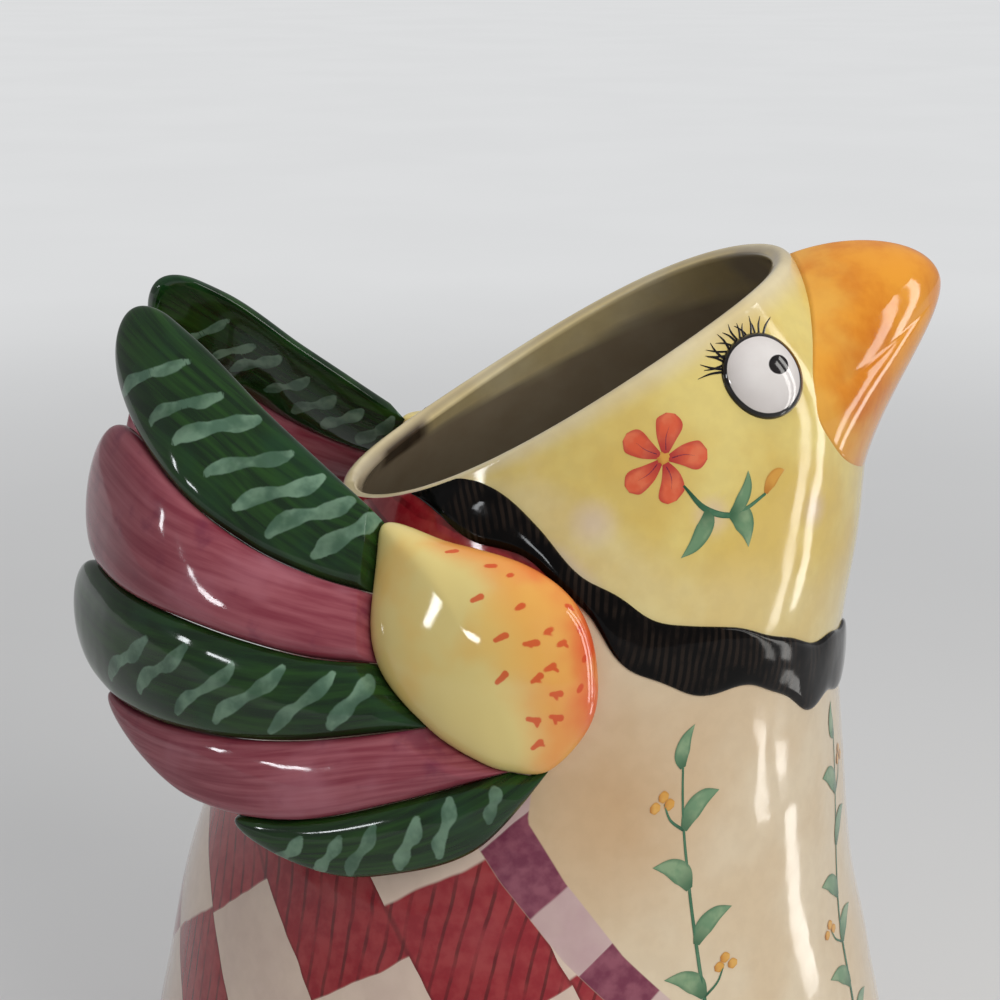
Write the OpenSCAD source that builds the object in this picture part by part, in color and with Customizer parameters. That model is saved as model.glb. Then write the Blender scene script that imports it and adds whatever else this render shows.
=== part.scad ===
// Hen pitcher: a hollow earthenware body with a slanted open mouth, a beak for a spout,
// a collar roll, two domed eyes and two wings of five feathers that sweep back behind it.
// +X points to the beak, +Z up, and the origin is the centre of the foot on the table.
// Right is the hen's own right, towards -Y.

/* [Body] */
// Height of the foot ring, which lifts the body off the table
foot_height = 5; // [4:0.5:7]
// Outer radius of the foot ring
foot_radius = 78; // [70:0.5:79]
// Width of the foot ring's flat
foot_width = 8; // [5:0.5:12]
// Radius of the body where it meets the foot
base_radius = 80; // [79.5:0.5:86]
// Height of the rounded heel above the foot ring
heel_height = 10; // [7:0.5:15]
// Radius of the rounded heel
heel_radius = 94; // [88:0.5:98]
// Height of the widest part of the belly above the heel
belly_height = 35; // [27:1:43]
// Radius of the belly
belly_radius = 103; // [98:0.5:106]
// Height of the waist above the belly's widest part
waist_height = 35; // [28:1:40]
// Radius of the waist
waist_radius = 97.5; // [95:0.5:101]
// Height of the chest above the waist
chest_height = 27; // [20:1:33]
// Half of the chest's length, beak to tail
chest_half_length = 91.5; // [90:0.5:95]
// Half of the chest's width
chest_half_width = 94; // [91:0.5:95]
// Thickness of the wall
wall = 5; // [4:0.25:6.5]

/* [Neck and mouth] */
// Height of the breast, where the wings spread, above the chest
breast_height = 28; // [24:0.5:32]
// Half of the breast's length
breast_half_length = 85; // [83:0.5:88]
// Half of the breast's width
breast_half_width = 89; // [86:0.5:89.5]
// How far the breast sits forward
breast_forward = 3; // [2:0.5:5]
// How far the breast ring climbs to the front
breast_rise = 2; // [1:0.5:4]
// Height of the neck above the breast
neck_height = 29; // [25:0.5:33]
// Half of the neck's length
neck_half_length = 78; // [76:0.5:81]
// Half of the neck's width
neck_half_width = 83; // [80:0.5:84]
// How far the neck sits forward
neck_forward = 7.5; // [7:0.5:10]
// How far the neck ring climbs to the front
neck_rise = 7; // [5:0.5:9]
// Height of the throat above the neck
throat_height = 31; // [27:0.5:35]
// Half of the throat's length
throat_half_length = 74.5; // [73:0.5:77]
// Half of the throat's width
throat_half_width = 77; // [74:0.5:79]
// How far the throat sits forward
throat_forward = 15; // [14:0.5:18]
// How far the throat ring climbs to the front
throat_rise = 14; // [12:0.5:16]
// Height of the brow above the throat
brow_height = 27; // [23:0.5:30]
// Half of the brow's length
brow_half_length = 69.5; // [67:0.5:72]
// Half of the brow's width
brow_half_width = 68; // [65:0.5:70]
// How far the brow sits forward
brow_forward = 18.5; // [17:0.5:20]
// How far the brow ring climbs to the front
brow_rise = 23; // [21:0.5:25]
// Mean height of the mouth's rim above the brow
mouth_height = 19; // [16:0.1:23]
// Half of the mouth's length
mouth_half_length = 58; // [55:0.5:61]
// Half of the mouth's width
mouth_half_width = 58.5; // [55:0.5:62]
// How far the mouth sits forward
mouth_forward = 11; // [9.5:0.5:12.5]
// How far the mouth's rim climbs to the front
mouth_rise = 30.3; // [27:0.1:33]

/* [Beak] */
// How far the beak's tip is in front of the mouth's rim
beak_reach = 39.4; // [35:0.1:43]
// Height of the beak's tip above the beak's lower edge on the throat
beak_tip_height = 46.5; // [42.5:0.1:50.5]
// Length over which the beak swells out of the head
beak_length = 40; // [34:0.5:46]
// How blunt the tip is above its point
beak_tip_top = 12; // [8:0.5:14]
// How blunt the tip is below its point
beak_tip_bottom = 10; // [7:0.5:13]
// How blunt the tip is to each side
beak_tip_side = 10; // [7:0.5:13]

/* [Collar and eyes] */
// How far the collar stands proud of the neck
collar_height = 1.6; // [1.2:0.1:2.4]
// Radius of an eye
eye_radius = 11.2; // [8:0.1:12]
// How far an eye bulges
eye_height = 4.6; // [3:0.1:6]

/* [Wings] */
// How far the longest feather's end stands off the body
wing_reach = 64; // [60:0.5:68]
// The same for a feather that would end straight out to the side
wing_half_width = 64; // [63:0.5:68]
// How far the wing's top seam climbs above the mouth's rim
wing_top = 55; // [51:0.5:59]
// How far the shoulder's back edge stands off the body
shoulder_lift = 10; // [8.5:0.5:12]
// How far the shoulder swells beyond its edge
shoulder_crown = 9; // [6:0.5:11]
// How far a feather swells outwards from its seams
feather_crown = 5; // [3.5:0.25:6.5]
// How far a feather swells inwards from its seams
feather_back = 2.8; // [2:0.1:3.2]
// Length over which a feather's end rounds off
feather_tip_round = 15; // [9:0.5:19]

/* [Fits] */
// Gap between an applied piece and the body
seat_gap = 0.3; // [0.2:0.05:0.5]
// Gap between the shoulder and a feather's root
root_gap = 0.7; // [0.5:0.05:1]
// Gap along the seam between two feathers
seam_gap = 0.3; // [0.2:0.05:0.5]

/* [Hidden] */

// Glaze colours
cream = [0.92, 0.87, 0.76];
orange = [0.90, 0.52, 0.12];
black = [0.10, 0.08, 0.08];
white = [0.92, 0.91, 0.90];
gold = [0.92, 0.70, 0.35];
green = [0.13, 0.29, 0.13];
mauve = [0.55, 0.27, 0.36];

// How far each ring of the body is above the one below, from the foot up
climbs = [
    foot_height, heel_height, belly_height, waist_height, chest_height, breast_height,
    neck_height, throat_height, brow_height, mouth_height
];
function level(i) = climbs[i] + (i > 0 ? level(i - 1) : 0);
// Each ring of the body: height, place forward, half length, half width, climb to the front
rings = [
    [level(0), 0, base_radius, base_radius, 0],
    [level(1), 0, heel_radius, heel_radius, 0],
    [level(2), 0, belly_radius, belly_radius, 0],
    [level(3), 0, waist_radius, waist_radius, 0],
    [level(4), 0, chest_half_length, chest_half_width, 0],
    [level(5), breast_forward, breast_half_length, breast_half_width, breast_rise],
    [level(6), neck_forward, neck_half_length, neck_half_width, neck_rise],
    [level(7), throat_forward, throat_half_length, throat_half_width, throat_rise],
    [level(8), brow_forward, brow_half_length, brow_half_width, brow_rise],
    [level(9), mouth_forward, mouth_half_length, mouth_half_width, mouth_rise]
];
rim_ring = len(rings) - 1;
// How much the rim bows up between its back and its front, as a share of its climb
bow_share = 0.135;

// Counts of faces
around = 44;
ring_steps = 3;
round_rings = 6;
feather_sides = 14;
pad_sides = 20;
seat_rings = 4;
// Length of a feather's even steps, as a share of the way between two places of its seams
feather_step_share = 0.4;

// Where the collar lies: angle from the beak, and its lower and upper edge as ring numbers
collar_shares = [
    [0, 5.75, 6.22], [13, 5.78, 6.24], [25, 5.85, 6.28], [40, 5.98, 6.42], [52, 6.16, 6.60],
    [64, 6.32, 6.74], [75, 6.46, 6.86], [84, 6.76, 7.08], [91, 7.16, 7.36], [97, 7.46, 7.68],
    [103, 7.70, 8.08], [110, 7.90, 8.60], [118, 8.12, 9], [125, 8.56, 9], [131, 8.94, 9]
];
collar_steps = 35;

// The beak's edge on the head, from the rim down one side to the throat: angle and ring number
beak_shares = [
    [0, 8.99], [9, 8.86], [20, 8.66], [30, 8.46], [39, 8.22], [42, 7.96], [38, 7.70], [30, 7.46],
    [16, 7.27], [0, 7.20]
];
// The middle of the beak's root: angle and ring number
beak_root_shares = [0, 8.1];
// How the beak leaves the head at its top, side and bottom: forward, inward and up
beak_lead_shares = [[0.42, 0, 0.17], [0.36, 0.26, 0.06], [0.08, 0, 0.50]];
beak_steps = 8;

// Middle of an eye: angle and ring number
eye_shares = [50, 8.43];

// The shoulder's outline on the body, which starts at its top back corner: angle from the beak,
// ring number and share of the shoulder's lift
shoulder_shares = [
    [132, 8.36, 0.80], [118, 8.04, 0.60], [103, 7.66, 0.46], [92.5, 7.22, 0.38],
    [87, 6.70, 0.30], [86, 6.32, 0.34], [91, 6.01, 0.46], [97.3, 6.02, 0.62],
    [103, 6.12, 0.75], [112, 6.36, 0.90], [124, 6.82, 1.00], [129.5, 7.44, 1.00]
];
// The shoulder's middle: angle, ring number and share of the lift
shoulder_middle_shares = [107, 7.02, 0.70];
// Size of the shoulder's seat on the body, as a share of its outline
seat_share = 0.86;

// The seams between feathers after the shoulder, from the top one down. Each place is over an
// angle and a ring number of the skin, a share of the wing's reach off it and one of its climb
seam_shares = [
    [[141.2, 9, 0.257, 0.179], [152, 9, 0.404, 0.467], [162, 9, 0.590, 0.775], [171.1, 9, 0.816, 1.005]],
    [[137, 7.98, 0.367, 0], [142.6, 8.60, 0.606, 0], [150.3, 9, 0.791, 0.188], [167.3, 9, 0.905, 0.527]],
    [[132.9, 7.17, 0.417, 0], [143.5, 7.51, 0.687, 0], [155.5, 7.81, 0.875, 0], [169.3, 8.10, 0.995, 0]],
    [[129.3, 6.38, 0.353, 0], [141.4, 6.39, 0.542, 0], [154.3, 6.42, 0.670, 0], [167.8, 6.62, 0.815, 0]],
    [[112.7, 5.90, 0.217, 0], [125.7, 5.70, 0.319, 0], [138.4, 5.70, 0.433, 0], [151.6, 5.97, 0.590, 0]],
    [[99.8, 5.47, 0.108, 0], [110.8, 5.25, 0.152, 0], [122.1, 5.20, 0.221, 0], [133.4, 5.41, 0.350, 0]]
];
// Where each seam leaves the shoulder, as a place in its outline
seam_root_shares = [12, 11, 10, 9, 7, 6];
// How far along its seams each feather ends
feather_reach_shares = [1, 1, 1, 0.91, 0.77];

function unit(v) = v / norm(v);
function mix(a, b, u) = a + (b - a) * u;
function clamp_index(i, n) = max(0, min(i, n));

// A smooth curve through p0 to p3, between p1 and p2
function smooth(p0, p1, p2, p3, u) = (
    2 * p1 + (p2 - p0) * u + (2 * p0 - 5 * p1 + 4 * p2 - p3) * u * u
    + (3 * p1 - p0 - 3 * p2 + p3) * u * u * u) / 2;

// The point at t of a smooth curve through a list of points, t counting them from 0
function along(points, t) =
    let (n = len(points) - 1, i = clamp_index(floor(t), n - 1))
    smooth(points[clamp_index(i - 1, n)], points[i], points[i + 1], points[clamp_index(i + 2, n)], t - i);

// The same for a closed curve
function along_loop(points, t) =
    let (n = len(points), i = floor(t))
    smooth(points[(i - 1 + n) % n], points[i % n], points[(i + 1) % n], points[(i + 2) % n], t - i);

// A point of the body's skin at a ring number and an angle from the beak, positive to the left
function skin(t, a, inset = 0) =
    let (r = along(rings, t))
    [
        r[1] + (r[2] - inset) * cos(a),
        (r[3] - inset) * sin(a),
        r[0] + r[4] * cos(a) * (1 + bow_share * pow(sin(a), 2))
    ];

// The skin's outward direction
function skin_out(t, a) =
    unit(cross(skin(t, a + 1) - skin(t, a - 1), skin(t + 0.02, a) - skin(t - 0.02, a)));
function on_skin(t, a, lift) = skin(t, a) + lift * skin_out(t, a);

// A closed solid from rings of equally many points between two end points
module loft(start, loops, end) {
    n = len(loops[0]);
    m = len(loops);
    points = [start, for (loop = loops) each loop, end];
    first = [for (j = [0:n - 1]) [0, 1 + j, 1 + (j + 1) % n]];
    sides = [
        for (i = [0:m - 2], j = [0:n - 1])
        let (a = 1 + i * n + j, b = 1 + i * n + (j + 1) % n)
        each [[b, a, a + n], [b, a + n, b + n]]
    ];
    last = [for (j = [0:n - 1]) [1 + m * n, 1 + (m - 1) * n + (j + 1) % n, 1 + (m - 1) * n + j]];
    polyhedron(points, concat(first, sides, last));
}

module mirrored(side) {
    if (side == "right") mirror([0, 1, 0]) children();
    else children();
}

// The hollow body: its outer skin from the base up, the rounded lip and the inner skin down
module body_shell() {
    outer = [for (i = [0:rim_ring * ring_steps]) i / ring_steps];
    inner = [for (i = [rim_ring * ring_steps:-1:2]) i / ring_steps];
    angles = [for (j = [0:around - 1]) 360 * j / around];
    function lip(a, share) =
        mix(skin(rim_ring, a), skin(rim_ring, a, wall), share)
        + [0, 0, wall * sin(180 * share) / 4];
    floor_height = foot_height + wall;
    color(cream) loft(
        [0, 0, foot_height],
        concat(
            [for (t = outer) [for (a = angles) skin(t, a)]],
            [for (share = [0.25, 0.5, 0.75]) [for (a = angles) lip(a, share)]],
            [for (t = inner) [for (a = angles) skin(t, a, wall)]],
            [[for (a = angles) [(heel_radius - 4 * wall) * cos(a), (heel_radius - 4 * wall) * sin(a),
                floor_height]]]
        ),
        [0, 0, floor_height]
    );
}

// The ring that the pitcher stands on, with a rounded inner edge
module foot_ring() {
    round = foot_width / 4;
    // The flat's inner edge lies under the base, whichever of the two is wider
    inner = min(foot_radius, base_radius) - foot_width;
    color(cream) rotate_extrude() union() {
        translate([inner, 0]) square([foot_radius - round - inner, foot_height]);
        translate([inner, round]) square([foot_radius - inner, foot_height - round]);
        translate([foot_radius - round, round]) circle(round);
    }
}

// The closed beak: each ray runs from its edge on the head, smoothly off the skin, to the tip
module beak() {
    half = 2 * (len(beak_shares) - 1);
    sides = 2 * half;
    lower = beak_shares[len(beak_shares) - 1];
    tip = [skin(rim_ring, 0)[0] + beak_reach, 0, skin(lower[1], lower[0])[2] + beak_tip_height];
    function edge(j) =
        let (row = along(beak_shares, (j <= half ? j : sides - j) / 2))
        [j <= half ? -row[0] : row[0], row[1]];
    function lead(c) =
        c > 0 ? mix(beak_lead_shares[1], beak_lead_shares[0], c)
        : mix(beak_lead_shares[1], beak_lead_shares[2], -c);
    function seat(j, share) =
        let (e = mix([0, beak_root_shares[1]], edge(j), share))
        on_skin(e[1], e[0], seat_gap);
    function ray(j, u) =
        let (
            turn = 180 * j / half,
            way = lead(cos(turn)) * beak_length,
            p0 = seat(j, 1),
            p1 = p0 + [way[0], way[1] * sin(turn), way[2]],
            blunt = cos(turn) > 0 ? beak_tip_top : beak_tip_bottom,
            p2 = tip + [0, -beak_tip_side * sin(turn), blunt * cos(turn)],
            v = 1 - u
        )
        v * v * v * p0 + 3 * v * v * u * p1 + 3 * v * u * u * p2 + u * u * u * tip;
    color(orange) loft(
        on_skin(beak_root_shares[1], 0, seat_gap),
        concat(
            [for (share = [0.2:0.2:1]) [for (j = [0:sides - 1]) seat(j, share)]],
            [for (i = [1:beak_steps - 1]) [for (j = [0:sides - 1]) ray(j, sin(90 * i / beak_steps))]]
        ),
        tip
    );
}

// The collar roll, which runs from the rim round the throat and back to the rim
module collar() {
    last = len(collar_shares) - 1;
    function row(u) = along(collar_shares, abs(u));
    function angle(u) = (u < 0 ? -1 : 1) * row(u)[0];
    // A point of the section: v runs from its lower edge, 0, to its upper edge, 1
    function at(u, v, lift) =
        let (r = row(u))
        on_skin(min(mix(r[1], r[2], v), rim_ring - 0.01), angle(u), lift);
    function section(u) = concat(
        [for (v = [0, 0.5, 1]) at(u, v, seat_gap)],
        [for (k = [1:5]) let (v = 0.5 + 0.5 * cos(30 * k))
            at(u, v, seat_gap + collar_height * pow(sin(30 * k), 0.7))]
    );
    stations = [for (i = [-collar_steps:collar_steps]) last * i / collar_steps];
    color(black) loft(
        at(-last, 0.5, seat_gap + collar_height / 2),
        [for (u = stations) section(u)],
        at(last, 0.5, seat_gap + collar_height / 2)
    );
}

// A domed eye on the head
module eye() {
    t = eye_shares[1];
    a = eye_shares[0];
    per_ring = norm(skin(t + 0.1, a) - skin(t - 0.1, a)) / 0.2;
    per_degree = norm(skin(t, a + 1) - skin(t, a - 1)) / 2;
    function at(share, turn, lift) = on_skin(
        t + eye_radius * share * sin(turn) / per_ring,
        a + eye_radius * share * cos(turn) / per_degree,
        seat_gap + lift
    );
    angles = [for (j = [0:pad_sides - 1]) 360 * j / pad_sides];
    color(white) loft(
        at(0, 0, 0),
        concat(
            [for (share = [0.5, 1]) [for (turn = angles) at(share, turn, 0)]],
            [for (k = [15:15:75]) [for (turn = angles) at(cos(k), turn, eye_height * sin(k))]]
        ),
        at(0, 0, eye_height)
    );
}

// A place of the shoulder: j runs round its outline, and share from its middle to its edge
function shoulder_place(j, share) =
    mix(shoulder_middle_shares, along_loop(shoulder_shares, j % len(shoulder_shares)), share);
function shoulder_edge(j) =
    let (p = shoulder_place(j, 1))
    on_skin(p[1], p[0], shoulder_lift * p[2]);

// The egg-shaped shoulder: its seat on the body, its wall out to the feathers and its dome
module wing_shoulder() {
    steps = [for (j = [0:3 * len(shoulder_shares) - 1]) j / 3];
    function seat(j, share) =
        let (p = shoulder_place(j, share * seat_share))
        on_skin(p[1], p[0], seat_gap);
    function dome(j, rise) =
        let (share = cos(rise), p = shoulder_place(j, share))
        on_skin(
            p[1], p[0],
            shoulder_lift * mix(shoulder_middle_shares[2], shoulder_place(j, 1)[2], share * share)
            + shoulder_crown * sin(rise)
        );
    color(gold) loft(
        seat(0, 0),
        concat(
            [for (k = [1:seat_rings]) [for (j = steps) seat(j, k / seat_rings)]],
            [for (rise = [0:15:75]) [for (j = steps) dome(j, rise)]]
        ),
        dome(0, 90)
    );
}

// One feather between two seams: a crowned blade from the shoulder's edge to a round end
module wing_feather(i) {
    roots = [seam_root_shares[i - 1], seam_root_shares[i]];
    reach = feather_reach_shares[i - 1] * len(seam_shares[0]);
    function knot(p) = skin(p[1], p[0])
        + [p[2] * wing_reach * cos(p[0]), p[2] * wing_half_width * sin(p[0]), p[3] * wing_top];
    function seam(k, t) =
        along(concat([shoulder_edge(roots[k])], [for (p = seam_shares[i - 1 + k]) knot(p)]), t);
    // The outline's curve is added to the straight chord near the root only
    function place(t, v) =
        let (
            root = shoulder_edge(mix(roots[0], roots[1], v)),
            chord = mix(shoulder_edge(roots[0]), shoulder_edge(roots[1]), v)
        )
        mix(seam(0, t), seam(1, t), v) + (root - chord) * pow(max(0, 1 - t * t), 2);
    blade = norm(place(reach, 0.5) - place(reach / 2, 0.5)) + norm(place(reach / 2, 0.5) - place(0, 0.5));
    start = reach * root_gap / blade;
    round_start = reach * (1 - feather_tip_round / blade);
    function narrow(t) =
        t < round_start ? 1 : sqrt(max(0, 1 - pow((t - round_start) / (reach - round_start), 2)));
    function section(t) =
        let (
            across = place(t, 1) - place(t, 0),
            ahead = place(t + 0.05, 0.5) - place(t - 0.05, 0.5),
            lift = unit(cross(across, ahead)),
            half = 0.5 * narrow(t) * (1 - seam_gap / norm(across)),
            grown = min(1, t / feather_step_share)
        )
        [
            for (k = [0:feather_sides - 1])
            let (
                turn = 360 * k / feather_sides,
                swell = pow(abs(sin(turn)), 0.7) * pow(narrow(t), 0.6)
            )
            place(t, 0.5 - half * cos(turn))
            + lift * swell * (turn < 180 ? feather_crown * grown : -feather_back * grown)
        ];
    // Neighbours share the even steps, so that their seams match, and closer ones round the end
    stations = concat(
        [start],
        [for (t = [feather_step_share:feather_step_share:round_start - feather_step_share / 3]) t],
        [for (k = [0:round_rings - 1]) mix(round_start, reach, sin(90 * k / round_rings))]
    );
    color(i % 2 == 1 ? green : mauve) loft(
        place(start, 0.5),
        [for (t = stations) section(t)],
        place(reach, 0.5)
    );
}

body_shell();
foot_ring();
beak();
collar();
for (side = ["right", "left"]) {
    mirrored(side) eye();
    mirrored(side) wing_shoulder();
    for (i = [1:5])
        mirrored(side) wing_feather(i);
}
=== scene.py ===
"""A glazed hen pitcher on a pale floor, in soft studio light.

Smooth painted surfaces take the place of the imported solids. They are worked out in millimetres
from places on the body: a ring number, 0 at the foot to RIM at the mouth, and an angle from the
beak, in degrees. Pieces of the sides are made for the left and mirrored for the right.
"""
import bpy
import math
import numpy as np
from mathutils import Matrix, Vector


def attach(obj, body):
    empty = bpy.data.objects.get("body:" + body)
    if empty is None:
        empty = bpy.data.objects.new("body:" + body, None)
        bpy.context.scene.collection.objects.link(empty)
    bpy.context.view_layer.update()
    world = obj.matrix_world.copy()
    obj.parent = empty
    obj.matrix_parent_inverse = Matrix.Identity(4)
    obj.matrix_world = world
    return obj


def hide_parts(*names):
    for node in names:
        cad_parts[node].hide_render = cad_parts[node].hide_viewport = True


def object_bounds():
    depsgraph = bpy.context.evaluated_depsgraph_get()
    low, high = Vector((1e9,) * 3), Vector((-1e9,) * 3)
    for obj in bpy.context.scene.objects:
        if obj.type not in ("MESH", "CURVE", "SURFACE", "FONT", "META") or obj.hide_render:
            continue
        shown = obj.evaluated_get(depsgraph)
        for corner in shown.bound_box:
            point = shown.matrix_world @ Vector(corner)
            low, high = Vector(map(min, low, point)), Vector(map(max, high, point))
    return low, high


METRE = 1000
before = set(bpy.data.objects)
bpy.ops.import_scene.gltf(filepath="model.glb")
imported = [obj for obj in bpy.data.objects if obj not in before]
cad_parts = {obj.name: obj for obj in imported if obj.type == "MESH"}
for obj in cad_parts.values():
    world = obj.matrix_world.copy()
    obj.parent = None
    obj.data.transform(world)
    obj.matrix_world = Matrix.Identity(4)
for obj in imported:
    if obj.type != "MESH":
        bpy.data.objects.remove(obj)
cad_box = [list(map(float, corner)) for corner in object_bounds()]
LOW, HIGH = (METRE * np.array(corner) for corner in cad_box)

# -------------------------------- the form, in millimetres
# The body's rings: height, x of the middle, half length, half width, and rise towards the beak.
RINGS = np.array([
    [5, 0, 80, 80, 0], [15, 0, 94, 94, 0], [50, 0, 103, 103, 0], [85, 0, 97.5, 97.5, 0],
    [112, 0, 91.5, 94, 0], [140, 3, 85, 89, 2], [169, 7.5, 78, 83, 7], [200, 15, 74.5, 77, 14],
    [227, 18.5, 69.5, 68, 23], [246, 11, 58, 58.5, 30.3]], float)
RIM = len(RINGS) - 1
BOW, WALL, FOOT, HEEL = 0.135, 5, 5, 94
# The lip falls by LIP_DROP towards the inside, and the fall fades out over LIP_RINGS.
LIP_DROP, LIP_RINGS = 1.8, 0.5
INNER_END, FLOOR_RADII = 0.67, (HEEL - 4 * WALL, 40, 10)
# How deep the edges of the eyes and shoulders, of the beak and of the collar lie in the body.
SINK, BEAK_SINK, COLLAR_SINK = 0.2, 0.25, 0.3

# The collar from the breast to the rim: angle, and the rings of its lower and upper edge.
COLLAR = [
    [0, 5.75, 6.22], [13, 5.78, 6.24], [25, 5.85, 6.28], [40, 5.98, 6.42], [52, 6.16, 6.60],
    [64, 6.32, 6.74], [75, 6.46, 6.86], [84, 6.76, 7.08], [91, 7.16, 7.36], [97, 7.46, 7.68],
    [103, 7.70, 8.08], [110, 7.90, 8.60], [118, 8.12, 9], [125, 8.56, 9], [131, 8.94, 9]]
# Its roll stops at COLLAR_TOP, and over the last COLLAR_TAPER it flattens to a share.
COLLAR_LIFT, COLLAR_TOP, COLLAR_TAPER, COLLAR_FLAT = 2.0, 8.99, 0.5, 0.3
COLLAR_END_RING, COLLAR_END_LIFT = 8.97, 0.2
# The hand-formed waves of its edges: size in rings, waves a turn, shift. They fade at the ends.
WAVES, WAVE_END, WAVE_FADE = ((0.035, 9, 1), (0.02, 23, 0)), 125, -15
# The bumps of its edges: size in rings, angle, spread in degrees.
LOW_BUMPS = ((0.12, 53, 7), (-0.11, 34.5, 7))
HIGH_BUMPS = ((0.05, 66, 10), (0.1, 85, 6), (-0.05, 37, 9), (-0.16, 0, 11))

# Half of the beak's edge, from its top: angle, ring.
BEAK = [[0, 8.99], [9, 8.86], [20, 8.66], [30, 8.46], [39, 8.22], [42, 7.96], [38, 7.70],
        [30, 7.46], [16, 7.27], [0, 7.20]]
# How far it leads off ahead, aside and up, in shares of its length, at top, side and bottom.
BEAK_LEADS = np.array([[0.42, 0, 0.17], [0.36, 0.26, 0.06], [0.08, 0, 0.50]])
BEAK_TIP, BEAK_LENGTH = np.array([108.4, 0, 267.98]), 40
BEAK_TOP, BEAK_BOTTOM, BEAK_SIDE = 12, 10, 10
# Its back, inside the head: ring of the middle, and depth.
BEAK_MIDDLE, BEAK_BACK = 8.1, 1

EYE, EYE_RADIUS, EYE_HEIGHT = (50, 8.43), 11.2, 4.6
# The edge of the eye's white: radius, how far it lies back, and how oval it is.
WHITE_RADIUS, WHITE_BACK, WHITE_OVAL = 9.3, 1.35, 0.25

# The shoulder's edge, from its top back over its front: angle, ring, share of its lift.
SHOULDER = np.array([
    [132, 8.36, 0.80], [118, 8.04, 0.60], [103, 7.66, 0.46], [92.5, 7.22, 0.38],
    [87, 6.70, 0.30], [86, 6.32, 0.34], [91, 6.01, 0.46], [97.3, 6.02, 0.62],
    [103, 6.12, 0.75], [112, 6.36, 0.90], [124, 6.82, 1.00], [129.5, 7.44, 1.00]])
SHOULDER_MIDDLE = np.array([107, 7.02, 0.70])
SHOULDER_LIFT, SHOULDER_CROWN, SEAT_SHARE = 10, 9, 0.86
# The wing's reach ahead and aside, and its climb.
WING = np.array([64, 64, 55])
# The feathers' seams, from the top: angle, ring, and shares of the wing's reach and climb.
SEAMS = np.array([
    [[141.2, 9, 0.257, 0.179], [152, 9, 0.404, 0.467],
     [162, 9, 0.590, 0.775], [171.1, 9, 0.816, 1.005]],
    [[137, 7.98, 0.367, 0], [142.6, 8.60, 0.606, 0],
     [150.3, 9, 0.791, 0.188], [167.3, 9, 0.905, 0.527]],
    [[132.9, 7.17, 0.417, 0], [143.5, 7.51, 0.687, 0],
     [155.5, 7.81, 0.875, 0], [169.3, 8.10, 0.995, 0]],
    [[129.3, 6.38, 0.353, 0], [141.4, 6.39, 0.542, 0],
     [154.3, 6.42, 0.670, 0], [167.8, 6.62, 0.815, 0]],
    [[112.7, 5.90, 0.217, 0], [125.7, 5.70, 0.319, 0],
     [138.4, 5.70, 0.433, 0], [151.6, 5.97, 0.590, 0]],
    [[99.8, 5.47, 0.108, 0], [110.8, 5.25, 0.152, 0],
     [122.1, 5.20, 0.221, 0], [133.4, 5.41, 0.350, 0]]])
# Where the seams start on the shoulder's edge, and how far each feather reaches along them.
SEAM_ROOTS, REACHES = [12, 11, 10, 9, 7, 6], [1, 1, 1, 0.91, 0.77]
CROWN, BACK, TIP_ROUND, ROOT_GAP, ROOT_RISE, SEAM_GAP = 5, 2.8, 15, 0.7, 0.4, 0.3


def unit(v):
    return v / np.maximum(np.linalg.norm(v, axis=-1, keepdims=True), 1e-9)


def mix(a, b, u):
    return a + (b - a) * u


def ramp(x, start, span):
    """0 up to start, rising to 1 over the span. A span below 0 rises the other way."""
    return np.clip((x - start) / span, 0, 1)


def read_off(rows, x):
    """The second column of a table where its first one is x."""
    return np.interp(x, *np.transpose(rows))


def quarter(steps):
    """Angles from 0 up to a right angle, in radians."""
    return np.linspace(0, math.pi / 2, steps, endpoint=False)


def bumps(a, rows):
    return sum(size * np.exp(-((np.abs(a) - centre) / spread)**2) for size, centre, spread in rows)


def catmull(p0, p1, p2, p3, u):
    return (2 * p1 + (p2 - p0) * u + (2 * p0 - 5 * p1 + 4 * p2 - p3) * u**2
            + (3 * p1 - p0 - 3 * p2 + p3) * u**3) / 2


def along(points, t):
    """A smooth curve through points, t counting them from 0."""
    points, t = np.asarray(points, float), np.asarray(t, float)
    n = len(points) - 1
    i = np.clip(np.floor(t).astype(int), 0, n - 1)
    return catmull(points[np.maximum(i - 1, 0)], points[i], points[i + 1],
                   points[np.minimum(i + 2, n)], (t - i)[..., None])


def along_loop(points, t):
    t = np.asarray(t, float)
    n, i = len(points), np.floor(t).astype(int)
    return catmull(points[(i - 1) % n], points[i % n], points[(i + 1) % n], points[(i + 2) % n],
                   (t - i)[..., None])


def skin(t, a, inset=0):
    """A point of the body at a ring number and an angle from the beak, in degrees."""
    t, a = np.broadcast_arrays(np.asarray(t, float), np.asarray(a, float))
    r, c, s = along(RINGS, t), np.cos(np.radians(a)), np.sin(np.radians(a))
    return np.stack([r[..., 1] + (r[..., 2] - inset) * c, (r[..., 3] - inset) * s,
                     r[..., 0] + r[..., 4] * c * (1 + BOW * s**2)], -1)


def skin_out(t, a):
    t, a = np.asarray(t, float), np.asarray(a, float)
    return unit(np.cross(skin(t, a + 1) - skin(t, a - 1), skin(t + 0.02, a) - skin(t - 0.02, a)))


def on_skin(t, a, lift):
    lift = np.asarray(lift, float)
    return skin(t, a) + lift[..., None] * skin_out(t, a)


def beside(anchor, x, y, lift):
    """A point over the body, x towards the beak and y up from an anchor's angle and ring."""
    a, t = anchor
    per_ring = np.linalg.norm(skin(t + 0.1, a) - skin(t - 0.1, a)) / 0.2
    per_degree = np.linalg.norm(skin(t, a + 1) - skin(t, a - 1)) / 2
    return on_skin(t + y / per_ring, a - x / per_degree, lift)


def shoulder_place(j, share):
    return mix(SHOULDER_MIDDLE, along_loop(SHOULDER, j), np.asarray(share)[..., None])


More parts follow.
